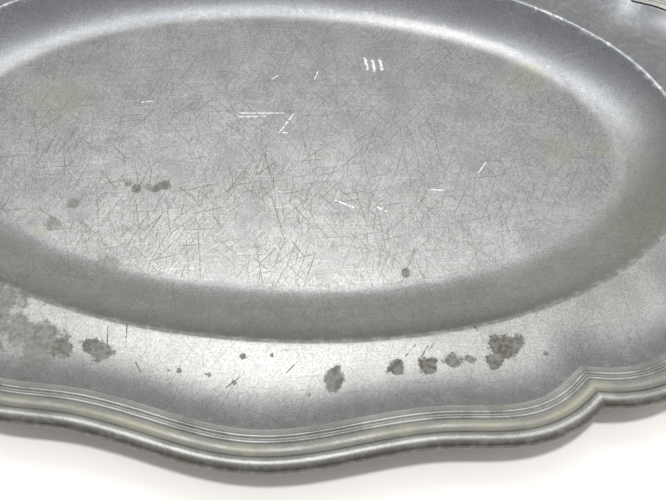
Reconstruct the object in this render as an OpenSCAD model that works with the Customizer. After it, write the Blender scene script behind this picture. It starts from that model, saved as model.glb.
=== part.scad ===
// Oval pewter platter. One casting makes the well, its curved wall and the flange.
// A reeded border with an outer bead is soldered round the edge in eight lengths,
// which lap onto the flange and meet in mitres at the notches of the outline.
// Millimetres. Origin at the centre of the resting face, X along the platter, Z up.

/* [Well] */
// Length of the well across its lip
well_l = 300; // [240:1:360]
// Width of the well across its lip
well_w = 182; // [150:1:220]
// Squareness of the oval, where 2 is a true ellipse
oval_power = 2.06; // [2:0.01:2.4]
// Depth of the well from its lip down to its floor
well_depth = 10; // [6:0.5:16]
// Breadth of the curved wall between the floor and the lip
wall_w = 25; // [18:0.5:34]
// How the wall steepens towards the lip, where 1 is a straight slope
wall_curve = 1.7; // [1.4:0.1:2.4]

/* [Metal] */
// Thickness of the well floor
floor_t = 2.4; // [1.6:0.1:3.4]
// Thickness of the flange
flange_t = 1.8; // [1.2:0.1:2.6]

/* [Flange] */
// Breadth from the lip to the outer edge at the middle of a side or an end
rim_w = 45; // [39:0.5:56]
// Rise of the flange from the lip to the border
flange_rise = 3.5; // [1:0.5:6]
// How late the flange turns up, where 1 is a straight slope
flange_turn_up = 4; // [1:0.5:6]
// The same at the notches, where the flange runs up straighter and leaves a soft ridge
notch_turn_up = 2.5; // [1:0.1:4]
// How far the ridge spreads to each side of a notch, as an angle
ridge_spread = 4; // [2:0.5:6]

/* [Outline] */
// Angle from the long axis to the notch that closes each end
end_notch_at = 36; // [31:0.5:40]
// Angle from the long axis to the notch that closes each side
side_notch_at = 54; // [50:0.5:60]
// Depth of the notches
notch_depth = 6.1; // [4:0.1:9]
// Depth of the hollow curves on both sides of a middle swell
dip_depth = 5.5; // [3:0.1:8]
// Place of the hollow curves between the middle, 0, and the notch, 1
dip_at = 0.48; // [0.4:0.01:0.56]
// Drop of the outer swells beside the notches
swell_drop = 1.4; // [0:0.1:4]
// Place of the outer swells between the middle, 0, and the notch, 1
swell_at = 0.8; // [0.74:0.01:0.86]
// Drop of the small lobes at the corners
lobe_drop = 0.1; // [0:0.1:3]

/* [Border] */
// Breadth of the border from its outer edge to its inner step
border_w = 13.6; // [12.5:0.1:15]
// Breadth of the outer bead
bead_w = 5.2; // [4.4:0.1:5.8]
// Height of the bead above its seat on the flange
bead_h = 2.7; // [2:0.1:3.6]
// Breadth of the flat under the bead, from its lowest line to the edge of the flange
bead_land = 0.6; // [0.2:0.1:1.2]
// Thickness of the border under its reeds
strip_t = 1; // [0.8:0.1:1.4]
// Depth of the cove below the foot of the reeds
cove_depth = 0.4; // [0.1:0.05:0.6]
// Radius of each reed
reed_r = 0.45; // [0.3:0.05:0.7]
// Distance from the inner step to the middle of the inner reed
reed_inset = 2.4; // [1.8:0.1:3]
// Distance between the middles of the two reeds
reed_pitch = 1.8; // [1.5:0.1:2.4]
// Height of the inner step
step_h = 0.6; // [0.4:0.1:0.9]
// Softening of the edge of the inner step
step_soft = 0.25; // [0.1:0.05:0.35]

/* [Hidden] */

// Colours of the worn flange and of the darker moulding
dish_colour = "#9a978d";
border_colour = "#85806f";

// Facets along a long border, along a corner lobe, up the wall and across the flange
long_steps = 32;
lobe_steps = 10;
wall_steps = 6;
flange_steps = 6;
// Facets round the bead, in the cove and round a reed
bead_steps = 10;
cove_steps = 4;
reed_steps = 3;
// The bead's section turns from its underside, over the top, to the cove
bead_start = -90;
bead_end = 155;
// Small turn used to find the direction of the outline
tiny_turn = 0.01;

lip_z = floor_t + well_depth;
seat_z = lip_z + flange_rise;
// Inset of the flange's own edge, which the bead hides
flange_edge = bead_w / 2 + bead_land;

// The eight lengths run counter-clockwise from notch to notch, starting at the right end
notches = [-end_notch_at, end_notch_at, side_notch_at, 180 - side_notch_at, 180 - end_notch_at,
           180 + end_notch_at, 180 + side_notch_at, 360 - side_notch_at, 360 - end_notch_at];
RIGHT_END = 0;
BACK_RIGHT = 1;
BACK = 2;
BACK_LEFT = 3;
LEFT_END = 4;
FRONT_LEFT = 5;
FRONT = 6;
FRONT_RIGHT = 7;

function mix(a, b, share) = a + (b - a) * share;
function unit(v) = v / norm(v);
function at_height(p, z) = [p[0], p[1], z];

// The lip of the well: an oval, and its outward direction
function powered(x) = pow(abs(x), oval_power);
function oval_scale(turn) = pow(powered(cos(turn)) + powered(sin(turn)), -1 / oval_power);
function lip(turn) = oval_scale(turn) / 2 * [well_l * cos(turn), well_w * sin(turn)];
function lean(x) = sign(x) * pow(abs(x), oval_power - 1);
function lip_outward(turn) = unit([lean(cos(turn)) / well_l, lean(sin(turn)) / well_w]);

// The outline, as a drop below the full breadth of the rim.
// A long run falls from its middle into a hollow, swells again and ends at a notch.
function ease(share) = (1 - cos(180 * share)) / 2;
function long_drop(along) =
    along < dip_at ? dip_depth * ease(along / dip_at)
    : along < swell_at ? mix(dip_depth, swell_drop, ease((along - dip_at) / (swell_at - dip_at)))
    : mix(swell_drop, notch_depth, pow((along - swell_at) / (1 - swell_at), 2));
function lobe_drop_at(along) = mix(lobe_drop, notch_depth, along * along);

// The four quarters are alike, so a turn is folded into the first one
function half_fold(turn) = abs((turn + 180) % 360 - 180);
function quarter_fold(turn) = min(half_fold(turn), 180 - half_fold(turn));
function drop(turn) =
    let (
        q = quarter_fold(turn),
        lobe_middle = (side_notch_at + end_notch_at) / 2,
        lobe_half = (side_notch_at - end_notch_at) / 2
    )
    q >= side_notch_at ? long_drop((90 - q) / (90 - side_notch_at))
    : q <= end_notch_at ? long_drop(q / end_notch_at)
    : lobe_drop_at(abs(q - lobe_middle) / lobe_half);
function outline(turn) = lip(turn) + lip_outward(turn) * (rim_w - drop(turn));

// Square to the outline, or along the mitre where two runs meet in a notch
function outline_normal(from, to) = let (run = unit(outline(to) - outline(from))) [run[1], -run[0]];
function mitre(turn) =
    let (
        before = outline_normal(turn - tiny_turn, turn),
        after = outline_normal(turn, turn + tiny_turn)
    )
    (before + after) / (1 + before * after);
function inside_edge(turn, inset) = outline(turn) - inset * mitre(turn);

// Turns at which each length, and the whole dish, is cut into facets
function run_steps(length_no) = length_no % 2 == 0 ? long_steps : lobe_steps;
function run_turn(length_no, i) =
    mix(notches[length_no], notches[length_no + 1], i / run_steps(length_no));
function run_turns(length_no) = [for (i = [0 : run_steps(length_no)]) run_turn(length_no, i)];
all_turns = [
    for (length_no = [RIGHT_END : FRONT_RIGHT])
        for (i = [0 : run_steps(length_no) - 1])
            run_turn(length_no, i)
];

// Section of the dish at one turn: floor edge, wall, lip and flange, then back underneath
function wall_height(share) = well_depth * pow(share, wall_curve);
function wall_slope(share) = atan(well_depth / wall_w * wall_curve * pow(share, wall_curve - 1));
function wall_top(turn, share) =
    at_height(lip(turn) - lip_outward(turn) * wall_w * (1 - share), floor_t + wall_height(share));
function wall_under(turn, share) =
    let (
        thick = mix(floor_t, flange_t, share),
        slope = wall_slope(share),
        top = wall_top(turn, share),
        outward = lip_outward(turn)
    )
    top + thick * sin(slope) * at_height(outward, 0) - [0, 0, thick * cos(slope)];
function from_notch(turn) =
    let (q = quarter_fold(turn))
    min(abs(q - end_notch_at), abs(q - side_notch_at));
function turn_up(turn) =
    mix(flange_turn_up, notch_turn_up, exp(-pow(from_notch(turn) / ridge_spread, 2)));
function flange_height(turn, share) = lip_z + flange_rise * pow(share, turn_up(turn));
function flange_top(turn, share) =
    at_height(mix(lip(turn), inside_edge(turn, border_w), share), flange_height(turn, share));
function dish_section(turn) = concat(
    [for (i = [0 : wall_steps]) wall_top(turn, i / wall_steps)],
    [for (i = [1 : flange_steps]) flange_top(turn, i / flange_steps)],
    [at_height(inside_edge(turn, flange_edge), seat_z)],
    [at_height(inside_edge(turn, flange_edge), seat_z - flange_t)],
    [for (i = [flange_steps : -1 : 1]) flange_top(turn, i / flange_steps) - [0, 0, flange_t]],
    [for (i = [wall_steps : -1 : 0]) wall_under(turn, i / wall_steps)]
);

// Section of the border as insets from the outer edge and heights above the seat:
// up the inner step, over the reeds and the cove, round the bead and back along the seat
function reed_section(middle) = [
    for (i = [0 : reed_steps])
        let (a = 180 * i / reed_steps)
        [middle + reed_r * cos(a), strip_t + reed_r * sin(a)]
];
function bead_point(a) = [
    bead_w / 2 * (1 - cos(a)),
    (bead_h - flange_t) / 2 + (bead_h + flange_t) / 2 * sin(a)
];
function cove_section() =
    let (
        foot = [border_w - reed_inset - reed_pitch - reed_r, strip_t],
        crest = bead_point(bead_end)
    )
    [
        for (i = [1 : cove_steps - 1])
            let (share = i / cove_steps)
            mix(foot, crest, share) - [0, cove_depth * sin(180 * share)]
    ];
function bead_section() = [
    for (i = [0 : bead_steps])
        bead_point(mix(bead_end, bead_start, i / bead_steps))
];
function border_section() = concat(
    [[border_w, 0], [border_w, step_h - step_soft], [border_w - step_soft, step_h]],
    reed_section(border_w - reed_inset),
    reed_section(border_w - reed_inset - reed_pitch),
    cove_section(),
    bead_section(),
    [[flange_edge, -flange_t], [flange_edge, 0]]
);

// Faces between neighbouring sections of the same number of points
function quad(i, next_i, k, next_k, size) =
    [i * size + k, next_i * size + k, next_i * size + next_k, i * size + next_k];

module dish() {
    count = len(all_turns);
    size = len(dish_section(0));
    floor_face = [for (i = [count - 1 : -1 : 0]) i * size];
    resting_face = [for (i = [0 : count - 1]) i * size + size - 1];
    skin = [
        for (i = [0 : count - 1])
            for (k = [0 : size - 2])
                quad(i, (i + 1) % count, k, k + 1, size)
    ];
    color(dish_colour)
        polyhedron(
            points = [for (turn = all_turns) each dish_section(turn)],
            faces = concat([floor_face, resting_face], skin)
        );
}

module border_length(length_no) {
    turns = run_turns(length_no);
    section = border_section();
    count = len(turns);
    size = len(section);
    first_mitre = [for (k = [0 : size - 1]) k];
    last_mitre = [for (k = [size - 1 : -1 : 0]) (count - 1) * size + k];
    skin = [
        for (i = [0 : count - 2])
            for (k = [0 : size - 1])
                quad(i, i + 1, k, (k + 1) % size, size)
    ];
    color(border_colour)
        polyhedron(
            points = [
                for (turn = turns)
                    for (p = section)
                        at_height(inside_edge(turn, p[0]), seat_z + p[1])
            ],
            faces = concat([first_mitre, last_mitre], skin)
        );
}

module front_border() { border_length(FRONT); }
module back_border() { border_length(BACK); }
module left_end_border() { border_length(LEFT_END); }
module right_end_border() { border_length(RIGHT_END); }
module front_left_lobe() { border_length(FRONT_LEFT); }
module front_right_lobe() { border_length(FRONT_RIGHT); }
module back_left_lobe() { border_length(BACK_LEFT); }
module back_right_lobe() { border_length(BACK_RIGHT); }

dish();
front_border();
back_border();
left_end_border();
right_end_border();
front_left_lobe();
front_right_lobe();
back_left_lobe();
back_right_lobe();
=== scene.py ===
import math
from collections import namedtuple

import bmesh
import bpy
import numpy as np
from mathutils import Matrix, Vector, noise


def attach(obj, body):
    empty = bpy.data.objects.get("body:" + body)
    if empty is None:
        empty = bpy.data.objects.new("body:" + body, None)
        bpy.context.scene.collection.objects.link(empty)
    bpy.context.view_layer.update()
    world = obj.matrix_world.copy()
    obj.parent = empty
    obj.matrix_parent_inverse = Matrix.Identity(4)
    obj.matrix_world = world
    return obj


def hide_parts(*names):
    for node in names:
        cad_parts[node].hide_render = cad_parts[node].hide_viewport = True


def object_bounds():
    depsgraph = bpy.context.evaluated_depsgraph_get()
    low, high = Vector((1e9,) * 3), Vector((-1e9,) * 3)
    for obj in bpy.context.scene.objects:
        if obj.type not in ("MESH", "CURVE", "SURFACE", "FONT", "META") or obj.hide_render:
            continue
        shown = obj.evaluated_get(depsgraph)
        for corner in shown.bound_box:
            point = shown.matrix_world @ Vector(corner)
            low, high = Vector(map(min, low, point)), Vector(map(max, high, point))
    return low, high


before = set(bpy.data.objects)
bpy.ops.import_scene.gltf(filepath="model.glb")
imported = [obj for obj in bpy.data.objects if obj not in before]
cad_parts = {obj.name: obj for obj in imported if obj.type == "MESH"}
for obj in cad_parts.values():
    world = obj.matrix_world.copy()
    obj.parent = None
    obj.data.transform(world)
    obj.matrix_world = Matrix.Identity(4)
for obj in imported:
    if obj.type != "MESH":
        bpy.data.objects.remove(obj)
cad_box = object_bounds()

# Sizes of the platter in millimetres, the same as in the solids
MM = 0.001
WELL_L = 300.0
WELL_W = 182.0
OVAL_POWER = 2.06
WELL_DEPTH = 10.0
WALL_W = 25.0
WALL_CURVE = 1.7
FLOOR_T = 2.4
FLANGE_T = 1.8
RIM_W = 45.0
FLANGE_RISE = 3.5
FLANGE_TURN_UP = 4.0
NOTCH_TURN_UP = 2.5
RIDGE_SPREAD = 4.0
END_NOTCH_AT = 36.0
SIDE_NOTCH_AT = 54.0
NOTCH_DEPTH = 6.1
DIP_DEPTH = 5.5
DIP_AT = 0.48
SWELL_DROP = 1.4
SWELL_AT = 0.8
LOBE_DROP = 0.1
BORDER_W = 13.6
BEAD_W = 5.2
BEAD_H = 2.7
BEAD_LAND = 0.6
STRIP_T = 1.0
COVE_DEPTH = 0.4
REED_R = 0.45
REED_INSET = 2.4
REED_PITCH = 1.8
STEP_H = 0.6
STEP_SOFT = 0.25

LIP_Z = FLOOR_T + WELL_DEPTH
SEAT_Z = LIP_Z + FLANGE_RISE
FLANGE_EDGE = BEAD_W / 2 + BEAD_LAND
REED_IN = BORDER_W - REED_INSET
REED_OUT = REED_IN - REED_PITCH
BEAD_START = -90.0
BEAD_END = 155.0

# Angles round the bead, in degrees, where it is rubbed most, partly a painted highlight, and where painted
# shade on its lower side begins and where it is full
BEAD_RUBBED_AND_SHEEN_AT = 105.0
BEAD_SHADE_FROM = 90.0
BEAD_SHADE_FULL = 55.0

# The point between the step and the first reed that sets the colour of the band there
BAND_AT = 0.35

# Wear: how far the lip is rounded on both sides of its line, and half the breadth of a rubbed reed
LIP_SOFT = 1.0
REED_SPREAD = 0.85

# Unevenness left by the hammer: heights of the waves and the distances over which they turn
SWELL_LIFT = 0.16
SWELL_REACH = 34.0
DENT_LIFT = 0.05
DENT_REACH = 9.0

# Steps of the fine meshes, the gap that is welded and the angle in degrees that stays sharp
LONG_STEPS = 120
LOBE_STEPS = 40
FLOOR_RINGS = 36
WALL_RINGS = 20
LIP_RINGS = 6
FLANGE_RINGS = 28
UNDER_RINGS = 12
STEP_POINTS = 5
REED_POINTS = 13
COVE_POINTS = 9
BEAD_POINTS = 33
TINY_TURN = 0.01
WELD_GAP = 0.001
SHARP_ANGLE = 38

# The eight border lengths, counter-clockwise from notch to notch
LENGTHS = ["right_end_border", "back_right_lobe", "back_border", "back_left_lobe",
           "left_end_border", "front_left_lobe", "front_border", "front_right_lobe"]
NOTCHES = [-END_NOTCH_AT, END_NOTCH_AT, SIDE_NOTCH_AT, 180 - SIDE_NOTCH_AT, 180 - END_NOTCH_AT,
           180 + END_NOTCH_AT, 180 + SIDE_NOTCH_AT, 360 - SIDE_NOTCH_AT, 360 - END_NOTCH_AT]

# Tarnish spots on the dish: place, radius and how dark
Spot = namedtuple("Spot", ["x", "y", "radius", "depth"])
TARNISH = [
    Spot(-95, -86, 17, 0.65), Spot(-70, -94, 6, 0.7), Spot(-77, -92, 5, 0.6), Spot(-63, -97, 4, 0.9),
    Spot(-70, -101, 5, 0.5), Spot(-86, -88, 3, 0.8), Spot(-92, -84, 2.5, 0.8), Spot(-50, -98, 3.5, 0.85),
    Spot(-54, -96, 2.5, 0.9), Spot(-58, -60, 4.5, 0.4), Spot(-56, -24, 1.6, 0.7), Spot(-53, -26, 2.2, 0.8),
    Spot(-49, -25, 1.6, 0.7), Spot(-46, -26, 1.6, 0.8), Spot(-43, -24, 2.2, 0.8), Spot(-75, -34, 2.5, 0.6),
    Spot(-80, -43, 3, 0.5), Spot(23, -102, 3, 0.9), Spot(23, -106, 2.2, 0.9), Spot(42, -98, 2.8, 1.0),
    Spot(52, -97, 3, 1.0), Spot(60, -95, 2.6, 0.85), Spot(76, -89, 5, 1.0), Spot(73, -94, 3, 0.9),
    Spot(80, -87, 3, 0.9), Spot(65, -94, 1.6, 0.8), Spot(89, -91, 0.9, 0.8), Spot(96, -88, 0.9, 0.7),
    Spot(98, -90, 0.8, 0.7), Spot(46, -57, 1.8, 0.8), Spot(-25, -103, 1.1, 0.9), Spot(-6, -97, 1.1, 0.9),
    Spot(-1, -96, 0.7, 0.8), Spot(7, -94, 1.0, 0.9), Spot(3, -96, 0.8, 0.8), Spot(-16, -104, 1.1, 0.7),
    Spot(-28, -103, 0.7, 0.8), Spot(-8, -106, 0.9, 0.8), Spot(15, -109, 1.0, 0.8),
]

# Pale stains on the floor, in the same way
PALE_STAINS = [
    Spot(104, 2, 7, 1.0), Spot(120, 3, 4, 0.8), Spot(95, 40, 8, 0.7), Spot(-84, -47, 3, 0.9),
    Spot(-90, 16, 13, 0.6),
]

# The busiest part of the floor: its middle, its reach and the least share of scratches elsewhere
BUSY_AT = (-28, -38)
BUSY_REACH = (80, 45)
BUSY_LEAST = 0.5

# Film on the floor, how fast it thickens up the wall, and how it grows across the flange to the border,
# where it is partly painted shade in the gutter
FLOOR_FILM = 0.04
WALL_FILM_RISE = 2.2
FLANGE_FILM = 0.2
FLANGE_FILM_AND_SHADE_FROM = 0.55
BORDER_FILM_AND_SHADE = 1.1

# Where the dish keeps its film: the places along one axis, in millimetres, at which it begins and is full
FRONT_FILM = (12, -108)
FRONT_FILM_MOST = 0.7
END_FILM = (80, 130)
BACK_FILM = (15, 55)
BACK_LEFT_FILM = (66, -54)
UPPER_WALL_FILM = (FLOOR_T + 0.8, FLOOR_T + 2.8)

# Bright scratches on the floor: their breadth and pairs of ends
BRIGHT_MARK_W = 0.32
BRIGHT_MARKS = [
    ((-19, 13), (-2, 14)), ((-19, 11), (-9, 12)), ((-3, 4), (2, 14)), ((-3, 4), (0, 4)),
    ((-8, 32), (-6, 34)), ((9, 33), (10, 37)), ((20, -27), (27, -30)), ((35, -29), (39, -31)),
    ((54, -20), (60, -20)), ((73, -11), (76, -6)), ((-59, 16), (-54, 17)),
]

# Broad bright scrapes on the floor
SCRAPE_W = 0.9
BRIGHT_SCRAPES = [((30, 40), (29, 46)), ((33, 39), (32, 45)), ((36, 40), (35, 46))]

# Dark scratches on the flange
DARK_MARK_W = 0.3
DARK_MARKS = [
    ((-10, -108), (-6, -104)), ((8, -102), (11, -98)), ((-39, -101), (-37, -104)),
    ((-50, -89), (-49, -95)), ((-44, -88), (-43, -96)), ((45, -94), (48, -90)),
    ((50, -94), (52, -90)), ((52, -92), (54, -89)), ((67, -82), (69, -85)),
]


def mix(a, b, share):
    return a + (b - a) * share


# From 0 at the start to 1 at the end, and level beyond them
def rise(value, start, end):
    return np.clip((value - start) / (end - start), 0, 1)


# The same with soft ends, for a share from 0 to 1
def ease(share):
    return (1 - np.cos(np.pi * np.clip(share, 0, 1))) / 2


def unit(v):
    return v / np.linalg.norm(v, axis=-1, keepdims=True)


def at_height(p, z):
    return np.column_stack([p, np.broadcast_to(z, len(p))])


# The lip of the well and its outward direction
def lip(turn):
    c, s = np.cos(np.radians(turn)), np.sin(np.radians(turn))
    scale = (np.abs(c) ** OVAL_POWER + np.abs(s) ** OVAL_POWER) ** (-1 / OVAL_POWER)
    return np.column_stack([scale * WELL_L / 2 * c, scale * WELL_W / 2 * s])


def lip_outward(turn):
    c, s = np.cos(np.radians(turn)), np.sin(np.radians(turn))
    lean_x = np.sign(c) * np.abs(c) ** (OVAL_POWER - 1) / WELL_L
    lean_y = np.sign(s) * np.abs(s) ** (OVAL_POWER - 1) / WELL_W
    return unit(np.column_stack([lean_x, lean_y]))


# The outline, as a drop below the full breadth of the rim
def long_drop(along):
    hollow = DIP_DEPTH * ease(along / DIP_AT)
    swell = mix(DIP_DEPTH, SWELL_DROP, ease((along - DIP_AT) / (SWELL_AT - DIP_AT)))
    fall = mix(SWELL_DROP, NOTCH_DEPTH, ((along - SWELL_AT) / (1 - SWELL_AT)) ** 2)
    return np.where(along < DIP_AT, hollow, np.where(along < SWELL_AT, swell, fall))


def quarter_fold(turn):
    half = np.abs((turn + 180) % 360 - 180)
    return np.minimum(half, 180 - half)


def drop(turn):
    q = quarter_fold(turn)
    side = long_drop((90 - q) / (90 - SIDE_NOTCH_AT))
    end = long_drop(q / END_NOTCH_AT)
    from_middle = np.abs(q - (SIDE_NOTCH_AT + END_NOTCH_AT) / 2)
    lobe = mix(LOBE_DROP, NOTCH_DEPTH, (from_middle / ((SIDE_NOTCH_AT - END_NOTCH_AT) / 2)) ** 2)
    return np.where(q >= SIDE_NOTCH_AT, side, np.where(q <= END_NOTCH_AT, end, lobe))


def outline(turn):
    return lip(turn) + lip_outward(turn) * (RIM_W - drop(turn))[:, None]


# Square to the outline, or along the mitre where two lengths meet
def outline_normal(start, end):
    run = unit(outline(end) - outline(start))
    return np.column_stack([run[:, 1], -run[:, 0]])


def mitre(turn):
    before = outline_normal(turn - TINY_TURN, turn)
    after = outline_normal(turn, turn + TINY_TURN)
    return (before + after) / (1 + (before * after).sum(1, keepdims=True))


def inside_edge(turn, inset):
    return outline(turn) - inset * mitre(turn)


def run_turns(length_no):
    steps = LONG_STEPS if length_no % 2 == 0 else LOBE_STEPS
    return mix(NOTCHES[length_no], NOTCHES[length_no + 1], np.arange(steps + 1) / steps)


# Section of the dish, as rings of points all the way round
def wall_top(turn, share):
    place = lip(turn) - lip_outward(turn) * WALL_W * (1 - share)
    return at_height(place, FLOOR_T + WELL_DEPTH * share ** WALL_CURVE)


def wall_under(turn, share):
    thick = mix(FLOOR_T, FLANGE_T, share)
    slope = math.atan(WELL_DEPTH / WALL_W * WALL_CURVE * share ** (WALL_CURVE - 1))
    shift = at_height(lip_outward(turn) * math.sin(slope), -math.cos(slope))
    return wall_top(turn, share) + thick * shift


def turn_up(turn):
    q = quarter_fold(turn)
    from_notch = np.minimum(np.abs(q - END_NOTCH_AT), np.abs(q - SIDE_NOTCH_AT))
    return mix(FLANGE_TURN_UP, NOTCH_TURN_UP, np.exp(-(from_notch / RIDGE_SPREAD) ** 2))


def flange_top(turn, share):
    share = np.broadcast_to(share, len(turn))
    place = mix(lip(turn), inside_edge(turn, BORDER_W), share[:, None])
    return at_height(place, LIP_Z + FLANGE_RISE * share ** turn_up(turn))


def flange_start(turn):
    breadth = np.linalg.norm(inside_edge(turn, BORDER_W) - lip(turn), axis=1)
    return LIP_SOFT / breadth


def core_line(turn):
    reach = (WELL_L - WELL_W) / 2
    return np.column_stack([reach * np.cos(np.radians(turn)), np.zeros(len(turn))])


def floor_ring(turn, share, height):
    edge = lip(turn) - lip_outward(turn) * WALL_W
    return at_height(mix(core_line(turn), edge, share), height)


def wall_ring(turn, share):
    return wall_top(turn, share * (1 - LIP_SOFT / WALL_W))


def lip_ring(turn, share):
    wall_end = wall_ring(turn, 1)
    corner = at_height(lip(turn), LIP_Z)
    start = flange_top(turn, flange_start(turn))
    return mix(mix(wall_end, corner, share), mix(corner, start, share), share)


def flange_ring(turn, share):
    return flange_top(turn, mix(flange_start(turn), 1.0, share))


def under_rings(turn):
    edge = inside_edge(turn, FLANGE_EDGE)
    below = np.array([0, 0, FLANGE_T])
    shares = 1 - np.arange(UNDER_RINGS) / UNDER_RINGS
    rings = [at_height(edge, SEAT_Z), at_height(edge, SEAT_Z - FLANGE_T)]
    rings += [flange_top(turn, share) - below for share in shares]
    rings += [wall_under(turn, share) for share in shares]
    rings += [floor_ring(turn, share, 0.0) for share in [*shares, 0]]
    return rings


# Parts of the dish's skin: how scratched, rubbed, filmed and uneven each is, as one value or one a ring,
# and top, which is 1 on the upper side and 0 on the back
Zone = namedtuple("Zone", ["rings", "scratched", "wear", "patina", "uneven", "top"])


def dish_zones(turn):
    floor_rings = [floor_ring(turn, i / FLOOR_RINGS, FLOOR_T) for i in range(FLOOR_RINGS)]
    wall_shares = np.arange(WALL_RINGS) / WALL_RINGS
    wall_rings = [wall_ring(turn, share) for share in wall_shares]
    lip_rings = [lip_ring(turn, i / LIP_RINGS) for i in range(LIP_RINGS)]
    flange_shares = np.linspace(0, 1, FLANGE_RINGS + 1)
    flange_rings = [flange_ring(turn, share) for share in flange_shares]
    wall_film = mix(FLOOR_FILM, 1.0, ease(WALL_FILM_RISE * wall_shares))
    # Film thickens across the flange towards the border, partly painted shade in the gutter there
    flange_film_and_shade = mix(FLANGE_FILM, BORDER_FILM_AND_SHADE, ease(rise(flange_shares, FLANGE_FILM_AND_SHADE_FROM, 1)))
    fading = 1 - flange_shares
    return [
        Zone(floor_rings, scratched=1.0, wear=0.0, patina=FLOOR_FILM, uneven=1.0, top=1.0),
        Zone(wall_rings, scratched=0.5, wear=0.0, patina=wall_film, uneven=1.0, top=1.0),
        Zone(lip_rings, scratched=0.3, wear=0.3, patina=0.4, uneven=1.0, top=1.0),
        Zone(flange_rings, scratched=0.6, wear=0.0, patina=flange_film_and_shade, uneven=fading, top=1.0),
        Zone(under_rings(turn), scratched=0.2, wear=0.0, patina=0.8, uneven=0.0, top=0.0),
    ]


def hand_worked(points, share):
    lift = [SWELL_LIFT * noise.noise(p / SWELL_REACH) + DENT_LIFT * noise.noise(p / DENT_REACH)
            for p in map(Vector, points)]
    return points + np.outer(lift * share, (0, 0, 1))


# Scratches crowd together where food is cut
def busy(points):
    away = (points[:, :2] - BUSY_AT) / BUSY_REACH
    return mix(BUSY_LEAST, 1, np.exp(-(away ** 2).sum(1)))


# Film stays along the front, round the two ends and along the back, there mostly at the left and high up
def seldom_rubbed(points):
    x, y, z = points.T
    front = np.minimum(rise(y, *FRONT_FILM), FRONT_FILM_MOST)
    ends = rise(np.abs(x), *END_FILM)
    back = rise(y, *BACK_FILM) * np.maximum(rise(x, *BACK_LEFT_FILM), rise(z, *UPPER_WALL_FILM))
    return np.maximum(np.maximum(front, ends), back)


# How far inside the nearest spot each point lies, 0.5 on the spot's edge, and how dark that spot is
def spot_field(points, spots):
    x, y = points[:, 0], points[:, 1]
    inside = np.array([1 - np.hypot(x - s.x, y - s.y) / (2 * s.radius) for s in spots])
    nearest = inside.argmax(0)
    depth = np.array([s.depth for s in spots])[nearest]
    return np.clip(inside.max(0), 0, 1), depth


# Section of the border: insets, heights above the seat, where it is worn bright (partly a painted
# highlight) and where it is painted with shade
SectionPoint = namedtuple("SectionPoint", ["inset", "height", "wear", "grime", "patina"])


def step_section():
    # The foot of the step and the band beyond its edge are painted with a little shade
    foot = SectionPoint(BORDER_W, 0.0, wear=0.0, grime=0.15, patina=0.4)
    edge = [
        SectionPoint(BORDER_W - STEP_SOFT * (1 - math.cos(a)), STEP_H - STEP_SOFT * (1 - math.sin(a)),
                     wear=0.2, grime=0.0, patina=0.3)
        for a in np.radians(np.linspace(0, 90, STEP_POINTS))
    ]
    inset = mix(BORDER_W - STEP_SOFT, REED_IN + REED_SPREAD, BAND_AT)
    band = SectionPoint(inset, mix(STEP_H, STRIP_T, BAND_AT), wear=0.1, grime=0.15, patina=0.4)
    return [foot, *edge, band]


# Reeds rubbed bright along their crests, partly a painted highlight, with painted shade in the valleys
# between them
def reed_section(middle):
    points = []
    for across in np.linspace(-1, 1, REED_POINTS):
        up = math.cos(math.pi / 2 * across) ** 2
        inset = middle - REED_SPREAD * across
        height = STRIP_T + REED_R * up
        points.append(SectionPoint(inset, height, wear=0.7 * up, grime=0.12 * (1 - up), patina=0.4))
    return points


def bead_place(a):
    across = BEAD_W / 2 * (1 - math.cos(math.radians(a)))
    up = (BEAD_H - FLANGE_T) / 2 + (BEAD_H + FLANGE_T) / 2 * math.sin(math.radians(a))
    return across, up


def cove_section():
    foot = (REED_OUT - REED_SPREAD, STRIP_T)
    crest = bead_place(BEAD_END)
    points = []
    for share in np.linspace(0, 1, COVE_POINTS)[1:-1]:
        inset = mix(foot[0], crest[0], share)
        height = mix(foot[1], crest[1], share) - COVE_DEPTH * math.sin(math.pi * share)
        # Painted shade grows across the cove towards the bead
        points.append(SectionPoint(inset, height, wear=0.0, grime=0.05 * share, patina=0.8))
    return points


# The bead is rubbed bright near its crest, partly a painted highlight, and painted dark with shade on its
# lower, outward side
def bead_section():
    points = []
    for a in np.linspace(BEAD_END, BEAD_START, BEAD_POINTS):
        crest = max(0.0, 0.3 - abs(a - BEAD_RUBBED_AND_SHEEN_AT) / 90)
        lower_shade = 0.95 * ease(rise(a, BEAD_SHADE_FROM, BEAD_SHADE_FULL))
        points.append(SectionPoint(*bead_place(a), wear=crest, grime=lower_shade, patina=0.3))
    return points


def border_section():
    # The seat under the border is painted in full shade
    seat = [SectionPoint(FLANGE_EDGE, height, wear=0.0, grime=1.0, patina=0.5)
            for height in (-FLANGE_T, 0.0)]
    return (step_section() + reed_section(REED_IN) + reed_section(REED_OUT)
            + cove_section() + bead_section() + seat)


# A mesh of the points, held inside the solids' box, with a value of each kind for each point
def add_mesh(name, points, faces, **values):
    low, high = (np.array(corner) for corner in cad_box)
    mesh = bpy.data.meshes.new(name)
    mesh.from_pydata(np.clip(points * MM, low, high).tolist(), [], faces)
    for kind, numbers in values.items():
        layer = mesh.attributes.new(kind, "FLOAT", "POINT")
        layer.data.foreach_set("value", np.asarray(numbers, dtype=np.float32))
    weld = bmesh.new()
    weld.from_mesh(mesh)
    bmesh.ops.remove_doubles(weld, verts=weld.verts, dist=WELD_GAP * MM)
    weld.to_mesh(mesh)
    weld.free()
    mesh.shade_smooth()
    mesh.set_sharp_from_angle(angle=math.radians(SHARP_ANGLE))
    piece = bpy.data.objects.new(name, mesh)
    bpy.context.scene.collection.objects.link(piece)
    return piece


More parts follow.
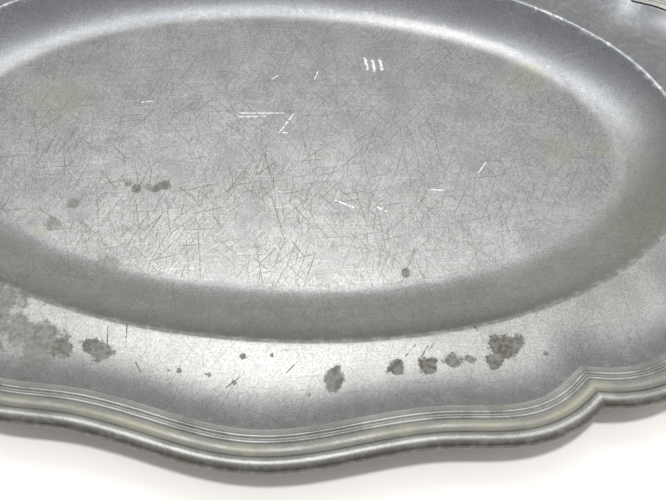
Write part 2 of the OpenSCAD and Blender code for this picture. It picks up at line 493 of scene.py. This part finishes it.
def make_dish():
    turn = np.concatenate([run_turns(n)[:-1] for n in range(len(LENGTHS))])
    zones = dish_zones(turn)
    rings = np.array([ring for zone in zones for ring in zone.rings])
    size, count = rings.shape[:2]

    def per_point(kind):
        by_ring = [np.broadcast_to(getattr(zone, kind), len(zone.rings)) for zone in zones]
        return np.repeat(np.concatenate(by_ring), count)

    points = hand_worked(rings.reshape(-1, 3), per_point("uneven"))
    scratched = per_point("scratched") * busy(points)
    patina = per_point("patina") * seldom_rubbed(points)
    top = per_point("top")
    stain, stain_depth = spot_field(points, TARNISH)
    pale, pale_depth = spot_field(points, PALE_STAINS)
    faces = []
    for k in range(size - 1):
        for i in range(count):
            j = (i + 1) % count
            faces.append((k * count + i, (k + 1) * count + i, (k + 1) * count + j, k * count + j))
    return add_mesh("dish_pewter_body", points, faces, scratched=scratched, patina=patina,
                    wear=per_point("wear"), top=top, stain=stain * top, stain_depth=stain_depth,
                    pale=pale * top, pale_depth=pale_depth)


def make_border(length_no):
    turn = run_turns(length_no)
    section = border_section()
    count, size = len(turn), len(section)
    columns = [at_height(inside_edge(turn, p.inset), SEAT_Z + p.height) for p in section]
    points = np.array(columns).transpose(1, 0, 2).reshape(-1, 3)
    faces = [tuple(range(size - 1, -1, -1)), tuple((count - 1) * size + k for k in range(size))]
    for i in range(count - 1):
        for k in range(size):
            m = (k + 1) % size
            faces.append((i * size + k, i * size + m, (i + 1) * size + m, (i + 1) * size + k))
    values = {kind: np.tile([getattr(p, kind) for p in section], count)
              for kind in ("wear", "grime", "patina")}
    return add_mesh(LENGTHS[length_no] + "_moulding", points, faces, **values)


dish = make_dish()
borders = [make_border(n) for n in range(len(LENGTHS))]

# Colours of the metal
CLEAN = (0.357, 0.361, 0.354, 1)
DULL = (0.247, 0.251, 0.244, 1)
OLIVE = (0.256, 0.254, 0.216, 1)
SLATE = (0.172, 0.178, 0.19, 1)
STRAW = (0.335, 0.32, 0.25, 1)
BRIGHT = (0.6, 0.6, 0.59, 1)
GLINT = (0.85, 0.85, 0.84, 1)
DIRT = (0.075, 0.07, 0.06, 1)
# Dark brown for the painted shade on the border
UMBER = (0.085, 0.072, 0.058, 1)
OXIDE = (0.08, 0.075, 0.062, 1)
CRUST = (0.15, 0.143, 0.122, 1)
PALE = (0.3, 0.294, 0.24, 1)

# Fine brush marks are a grain drawn out along the length of the dish, by a squeeze of x
HAIR_SQUEEZE = (0.06, 1, 1)

# Families of scratches: direction in degrees, then length, spacing and breadth in millimetres
Scratch = namedtuple("Scratch", ["direction", "length", "spacing", "breadth"])
DARK_SCRATCHES = [
    Scratch(104, 30, 5, 0.3), Scratch(72, 26, 4.5, 0.3), Scratch(50, 18, 4, 0.28),
    Scratch(135, 14, 3.6, 0.28), Scratch(12, 16, 3.6, 0.28), Scratch(88, 10, 2.4, 0.24),
    Scratch(115, 9, 1.3, 0.16), Scratch(60, 8, 1.2, 0.15),
]
LIGHT_SCRATCHES = [
    Scratch(3, 18, 3.4, 0.22), Scratch(142, 9, 2.8, 0.2), Scratch(66, 7, 2.4, 0.2),
    Scratch(25, 6, 1.4, 0.14), Scratch(98, 7, 1.2, 0.14), Scratch(160, 8, 1.3, 0.14),
]

# How far scratches lean out of line, where along them they fade, how many are faint, and the shifts
# that keep their families apart
SCRATCH_LEAN = 1.1
SCRATCH_FADE = (0.45, 0.2)
SCRATCH_FAINTNESS = 1.6
DARK_SHIFT = 11
LIGHT_SHIFT = 423
SHIFT_STEP = 37


# Adds nodes to a tree and hands back their outputs
class NodeTree:
    def __init__(self, tree):
        self.tree = tree

    def feed(self, socket, value):
        if isinstance(value, bpy.types.NodeSocket):
            self.tree.links.new(value, socket)
        else:
            socket.default_value = value

    def node(self, kind, inputs, **settings):
        made = self.tree.nodes.new("ShaderNode" + kind)
        for name, value in settings.items():
            setattr(made, name, value)
        for name, value in inputs.items():
            self.feed(made.inputs[name], value)
        return made.outputs

    def math(self, operation, *values):
        return self.node("Math", dict(enumerate(values)), operation=operation)[0]

    def vector(self, operation, *values):
        return self.node("VectorMath", dict(enumerate(values)), operation=operation)["Vector"]

    def ramp(self, value, start, end):
        limits = {"Value": value, "From Min": start, "From Max": end}
        return self.node("MapRange", limits, interpolation_type="SMOOTHSTEP")["Result"]

    def blend(self, share, first, second):
        return self.node("MixRGB", {"Fac": share, "Color1": first, "Color2": second})["Color"]

    def value(self, kind):
        return self.node("Attribute", {}, attribute_name=kind)["Fac"]

    def noise(self, place, size, detail=2):
        return self.node("TexNoise", {"Vector": place, "Scale": 1 / size, "Detail": detail})["Fac"]

    def times(self, *values):
        product = values[0]
        for value in values[1:]:
            product = self.math("MULTIPLY", product, value)
        return product

    # A value pushed up and down by a noise that lies about 0.5
    def nudge(self, value, by, reach):
        return self.math("MULTIPLY_ADD", self.math("SUBTRACT", by, 0.5), reach, value)

    def strongest(self, values):
        total = values[0]
        for value in values[1:]:
            total = self.math("MAXIMUM", total, value)
        return total


# Place on the surface in millimetres
def surface_place(t):
    metres = t.node("TexCoord", {})["Object"]
    return t.node("VectorMath", {"Vector": metres, "Scale": 1 / MM}, operation="SCALE")["Vector"]


# Long thin strokes, one to a cell of a stretched mosaic, each with its own lean and strength
def strokes(t, place, scratch, shift):
    mapping = {
        "Vector": place,
        "Location": (shift, 2 * shift, 0),
        "Rotation": (0, 0, math.radians(scratch.direction)),
        "Scale": (scratch.length, scratch.spacing, 1),
    }
    laid = t.node("Mapping", mapping, vector_type="TEXTURE")["Vector"]
    cells = t.node("TexVoronoi", {"Vector": laid, "Scale": 1}, voronoi_dimensions="2D")
    offset = t.node("SeparateXYZ", {"Vector": t.vector("SUBTRACT", laid, cells["Position"])})
    chance = t.node("SeparateColor", {"Color": cells["Color"]})
    lean = t.math("MULTIPLY_ADD", chance["Red"], SCRATCH_LEAN, -SCRATCH_LEAN / 2)
    across = t.math("MULTIPLY_ADD", offset["X"], lean, offset["Y"])
    line = t.ramp(t.math("ABSOLUTE", across), scratch.breadth / scratch.spacing, 0)
    ends = t.ramp(t.math("ABSOLUTE", offset["X"]), *SCRATCH_FADE)
    strength = t.math("POWER", chance["Green"], SCRATCH_FAINTNESS)
    return t.times(line, ends, strength)


def scratches(t, place, kinds, first_shift):
    return t.strongest([strokes(t, place, kind, first_shift + SHIFT_STEP * n)
                        for n, kind in enumerate(kinds)])


# One line between two places on the dish
def mark(t, place, start, end, breadth):
    run = Vector((*end, 0)) - Vector((*start, 0))
    heading = run.normalized()
    from_start = t.vector("SUBTRACT", place, (*start, 0))
    along = t.node("VectorMath", {0: from_start, 1: heading}, operation="DOT_PRODUCT")["Value"]
    held = t.node("Clamp", {"Value": along, "Min": 0, "Max": run.length})["Result"]
    nearest = t.node("VectorMath", {"Vector": heading, "Scale": held}, operation="SCALE")["Vector"]
    gap = t.node("VectorMath", {0: from_start, 1: nearest}, operation="DISTANCE")["Value"]
    return t.ramp(gap, breadth, breadth / 3)


def new_material(name):
    material = bpy.data.materials.new(name)
    material.use_nodes = True
    surface = material.node_tree.nodes["Principled BSDF"]
    return material, surface, NodeTree(material.node_tree)


def add_bump(t, surface, height_mm):
    bump = t.node("Bump", {"Height": height_mm, "Distance": MM})
    t.feed(surface.inputs["Normal"], bump["Normal"])


# Satin pewter of the dish: cut by knives, spotted with tarnish, filmed where it is seldom rubbed
def dish_pewter():
    material, surface, t = new_material("worn_dish_pewter")
    place = surface_place(t)
    flat = t.vector("MULTIPLY", place, (1, 1, 0))
    cloudy = t.noise(place, size=15, detail=4)
    mottled = t.noise(place, size=3.2, detail=3)
    grain = t.noise(place, size=0.7, detail=2)

    # Bare metal, clouded, grained and finely brushed along its length
    hairs = t.noise(t.vector("MULTIPLY", place, HAIR_SQUEEZE), size=0.7, detail=2)
    brushed = t.nudge(t.math("MULTIPLY_ADD", cloudy, 0.6, 0.2), hairs, 0.16)
    worn = t.nudge(brushed, grain, 1.2)
    colour = t.blend(t.ramp(worn, 0.3, 0.7), DULL, CLEAN)

    # Film, olive at the front of the well, cooler on the flange, cooler and thicker towards the back
    where = t.node("SeparateXYZ", {"Vector": place})
    towards_back = t.ramp(where["Y"], -50, 40)
    on_flange = t.ramp(where["Z"], LIP_Z, LIP_Z + 1)
    coolness = t.math("MAXIMUM", towards_back, t.times(on_flange, 0.7))
    film = t.blend(coolness, OLIVE, SLATE)
    thick = t.math("MULTIPLY_ADD", towards_back, 3.0, 1.0)
    patchy = t.times(t.value("patina"), thick, t.ramp(mottled, 0.08, 0.55))
    speckled = t.math("MULTIPLY_ADD", t.ramp(grain, 0.35, 0.6), 0.3, 0.7)
    filmed = t.times(t.math("MINIMUM", patchy, 1.0), speckled)
    colour = t.blend(filmed, colour, film)

    # Pale stains
    pale_edge = t.nudge(t.value("pale"), cloudy, 0.7)
    pale = t.times(t.ramp(pale_edge, 0.4, 0.75), t.value("pale_depth"))
    colour = t.blend(t.times(pale, 0.8), colour, PALE)

    # Knife scratches, some bright and some dark, a rubbed lip, and flecks of dirt
    crowded = t.times(t.value("scratched"), t.ramp(t.noise(place, size=30), 0.25, 0.5))
    dark = t.times(scratches(t, flat, DARK_SCRATCHES, DARK_SHIFT), crowded)
    light = t.times(scratches(t, flat, LIGHT_SCRATCHES, LIGHT_SHIFT), crowded)
    rubbed_and_sheen = t.times(t.value("wear"), t.ramp(mottled, 0.52, 0.38))
    colour = t.blend(t.math("MAXIMUM", t.times(light, 0.75), rubbed_and_sheen), colour, BRIGHT)
    marks = t.strongest([mark(t, flat, *ends, DARK_MARK_W) for ends in DARK_MARKS])
    scored = t.times(marks, t.ramp(mottled, 0.3, 0.55), t.value("top"))
    colour = t.blend(t.math("MAXIMUM", dark, scored), colour, DIRT)
    flecks = t.times(t.ramp(grain, 0.56, 0.78), t.ramp(mottled, 0.35, 0.65))
    colour = t.blend(t.times(flecks, 0.7), colour, DIRT)

    # Ragged spots of tarnish with a paler crust
    rough_edge = t.nudge(t.value("stain"), mottled, 0.8)
    ragged = t.nudge(rough_edge, grain, 0.5)
    oxide = t.times(t.ramp(ragged, 0.44, 0.58), t.value("stain_depth"))
    crust = t.blend(t.ramp(t.noise(place, size=1.5, detail=3), 0.4, 0.6), OXIDE, CRUST)
    colour = t.blend(oxide, colour, crust)

    # Bright lines, broken along their length
    thin = [mark(t, flat, *ends, BRIGHT_MARK_W) for ends in BRIGHT_MARKS]
    broad = [mark(t, flat, *ends, SCRAPE_W) for ends in BRIGHT_SCRAPES]
    gaps = t.ramp(t.noise(place, size=1.2, detail=2), 0.36, 0.56)
    broken = t.times(t.strongest(thin + broad), gaps, t.value("top"))
    colour = t.blend(broken, colour, GLINT)

    t.feed(surface.inputs["Base Color"], colour)
    t.feed(surface.inputs["Metallic"], t.math("MULTIPLY_ADD", oxide, -0.6, 1.0))
    satin = t.math("MULTIPLY_ADD", cloudy, 0.08, 0.25)
    t.feed(surface.inputs["Roughness"], t.math("MULTIPLY_ADD", oxide, 0.2, satin))
    add_bump(t, surface, t.math("MULTIPLY_ADD", mottled, 0.02, t.times(grain, 0.014)))
    return material


# The moulded border: crests rubbed bright, partly a painted highlight; painted shade in the lines and on
# the bead's lower side; an olive cove
def border_pewter():
    material, surface, t = new_material("worn_border_pewter")
    place = surface_place(t)
    cloudy = t.noise(place, size=12, detail=4)
    mottled = t.noise(place, size=2.4, detail=3)
    grain = t.noise(place, size=0.7, detail=3)

    worn = t.nudge(cloudy, grain, 1.2)
    colour = t.blend(t.ramp(worn, 0.3, 0.7), DULL, CLEAN)
    film = t.blend(t.ramp(t.noise(place, size=7, detail=3), 0.4, 0.6), OLIVE, STRAW)
    filmed = t.times(t.value("patina"), t.ramp(cloudy, 0.15, 0.6))
    colour = t.blend(filmed, colour, film)
    # Crests rubbed bright, partly a painted highlight
    rubbed_and_sheen = t.times(t.value("wear"), t.ramp(cloudy, 0.38, 0.6))
    colour = t.blend(rubbed_and_sheen, colour, BRIGHT)
    # Painted shade, gritty and dark brown, in the border's hollows and on the bead's lower, outward side
    gritty = t.math("MULTIPLY_ADD", t.ramp(mottled, 0.3, 0.6), 0.4, 0.6)
    shaded = t.times(t.value("grime"), gritty)
    colour = t.blend(t.times(shaded, 0.9), colour, UMBER)
    flecks = t.ramp(grain, 0.64, 0.75)
    colour = t.blend(t.times(flecks, 0.6), colour, DIRT)

    t.feed(surface.inputs["Base Color"], colour)
    t.feed(surface.inputs["Metallic"], t.math("MULTIPLY_ADD", shaded, -0.3, 1.0))
    satin = t.math("MULTIPLY_ADD", cloudy, 0.12, 0.24)
    matt = t.math("MULTIPLY_ADD", filmed, 0.18, satin)
    t.feed(surface.inputs["Roughness"], t.math("MULTIPLY_ADD", rubbed_and_sheen, -0.06, matt))
    add_bump(t, surface, t.math("MULTIPLY_ADD", mottled, 0.05, t.times(grain, 0.02)))
    return material


dish.data.materials.append(dish_pewter())
border_material = border_pewter()
for piece in borders:
    piece.data.materials.append(border_material)

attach(dish, "root")
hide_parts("dish")
for node, piece in zip(LENGTHS, borders):
    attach(piece, "root")
    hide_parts(node)

# Pale floor, just under the resting face
FLOOR_REACH = 3.0
FLOOR_GAP = 0.0002
FLOOR_COLOUR = (0.8, 0.75, 0.705, 1)
FLOOR_ROUGHNESS = 0.9
FLOOR_GLOW = 0.015


def add_floor():
    mesh = bpy.data.meshes.new("floor")
    corners = [(x * FLOOR_REACH, y * FLOOR_REACH, 0) for x, y in ((-1, -1), (1, -1), (1, 1), (-1, 1))]
    mesh.from_pydata(corners, [], [(0, 1, 2, 3)])
    floor = bpy.data.objects.new("floor", mesh)
    floor.location.z = -FLOOR_GAP
    bpy.context.scene.collection.objects.link(floor)
    material, surface, t = new_material("pale_floor")
    surface.inputs["Base Color"].default_value = FLOOR_COLOUR
    surface.inputs["Roughness"].default_value = FLOOR_ROUGHNESS
    surface.inputs["Emission Color"].default_value = (1, 1, 1, 1)
    ray = t.node("LightPath", {})
    seen = t.strongest([ray["Is Camera Ray"], ray["Is Glossy Ray"], ray["Is Transmission Ray"]])
    t.feed(surface.inputs["Emission Strength"], t.times(seen, FLOOR_GLOW))
    mesh.materials.append(material)


# Direction at an angle round from +Y towards +X and an angle above the floor, in degrees
def direction(azimuth, elevation):
    a, e = math.radians(azimuth), math.radians(elevation)
    return Vector((math.sin(a) * math.cos(e), math.cos(a) * math.cos(e), math.sin(e)))


# Soft light from one bright patch of sky above and behind, drawn out sideways by a squeeze of x: its level
# at each angle away from the patch, in degrees
SKY_ELEVATION = 67
SKY_AZIMUTH = -6
SKY_SQUEEZE = (0.55, 1, 1)
SKY_LEVELS = [
    (0, 8.2), (4, 5.4), (8, 2.6), (14, 1.4), (20, 1.06),
    (36, 0.84), (50, 0.98), (66, 0.92), (84, 0.66), (104, 0.5),
]

# The front of the room is dimmer and bluer low down, and its left side is dimmer: the tints, and how far
# towards the front and the left they begin and are full
FRONT_TINT = (0.3, 0.34, 0.38, 1)
FRONT_FADE = (-0.55, -0.95)
LEFT_TINT = (0.6, 0.6, 0.6, 1)
LEFT_FADE = (-0.2, -0.75)


def add_sky():
    world = bpy.data.worlds.new("studio")
    bpy.context.scene.world = world
    world.use_nodes = True
    t = NodeTree(world.node_tree)
    axis = direction(SKY_AZIMUTH, SKY_ELEVATION)
    outward = t.node("TexCoord", {})["Generated"]
    squeezed = t.vector("NORMALIZE", t.vector("MULTIPLY", outward, SKY_SQUEEZE))
    cosine = t.node("VectorMath", {0: squeezed, 1: axis}, operation="DOT_PRODUCT")["Value"]
    share = t.math("DIVIDE", t.math("ARCCOSINE", cosine), math.pi)
    levels = world.node_tree.nodes.new("ShaderNodeValToRGB")
    t.feed(levels.inputs["Fac"], share)
    peak = max(level for _, level in SKY_LEVELS)
    stops = levels.color_ramp.elements
    while len(stops) < len(SKY_LEVELS):
        stops.new(1.0)
    for stop, (angle, level) in zip(stops, SKY_LEVELS):
        stop.position = angle / 180
        stop.color = (*[level / peak] * 3, 1)
    towards = t.node("SeparateXYZ", {"Vector": outward})
    left = t.blend(t.ramp(towards["X"], *LEFT_FADE), (1, 1, 1, 1), LEFT_TINT)
    tint = t.blend(t.ramp(towards["Y"], *FRONT_FADE), left, FRONT_TINT)
    factors = {"Fac": 1, "Color1": levels.outputs["Color"], "Color2": tint}
    lit = t.node("MixRGB", factors, blend_type="MULTIPLY")
    background = world.node_tree.nodes["Background"]
    t.feed(background.inputs["Color"], lit["Color"])
    background.inputs["Strength"].default_value = peak


# A small lamp above the front lights the floor, so that the rim throws a clear shadow
LAMP_AZIMUTH = 180
LAMP_ELEVATION = 79
LAMP_DISTANCE = 1.6
LAMP_SIZE = 0.13
LAMP_WATTS = 17.5
LAMP_COLOUR = (0.95, 1.0, 1.05)


def add_lamp():
    lamp = bpy.data.lights.new("front_lamp", "AREA")
    lamp.shape = "DISK"
    lamp.size = LAMP_SIZE
    lamp.energy = LAMP_WATTS
    lamp.color = LAMP_COLOUR
    item = bpy.data.objects.new("front_lamp", lamp)
    item.location = LAMP_DISTANCE * direction(LAMP_AZIMUTH, LAMP_ELEVATION)
    item.rotation_euler = item.location.to_track_quat("Z", "Y").to_euler()
    item.visible_glossy = False
    bpy.context.scene.collection.objects.link(item)


add_floor()
add_sky()
add_lamp()

# Camera at the photograph's place: its angles and its distance from a point on the platter
FOCAL_PX = 891.0
IMAGE_W_PX = 666
SENSOR_W = 36
NEAR_CLIP = 0.01
CAMERA_ELEVATION = 56.6
CAMERA_YAW = 1.02
CAMERA_ROLL = 1.97
CAMERA_DISTANCE = 313.5
CAMERA_TARGET = (20.2, -48.9, FLOOR_T)


def add_camera():
    data = bpy.data.cameras.new("camera")
    data.sensor_width = SENSOR_W
    data.lens = FOCAL_PX * SENSOR_W / IMAGE_W_PX
    data.clip_start = NEAR_CLIP
    item = bpy.data.objects.new("camera", data)
    bpy.context.scene.collection.objects.link(item)
    back = direction(180 - CAMERA_YAW, CAMERA_ELEVATION)
    right = (-back).cross(Vector((0, 0, 1))).normalized()
    up = right.cross(-back)
    roll = math.radians(CAMERA_ROLL)
    turned_right = math.cos(roll) * right + math.sin(roll) * up
    turned_up = -math.sin(roll) * right + math.cos(roll) * up
    item.matrix_world = Matrix((turned_right, turned_up, back)).transposed().to_4x4()
    item.location = (Vector(CAMERA_TARGET) + CAMERA_DISTANCE * back) * MM
    bpy.context.scene.camera = item


add_camera()
bpy.context.scene.view_settings.view_transform = "Standard"
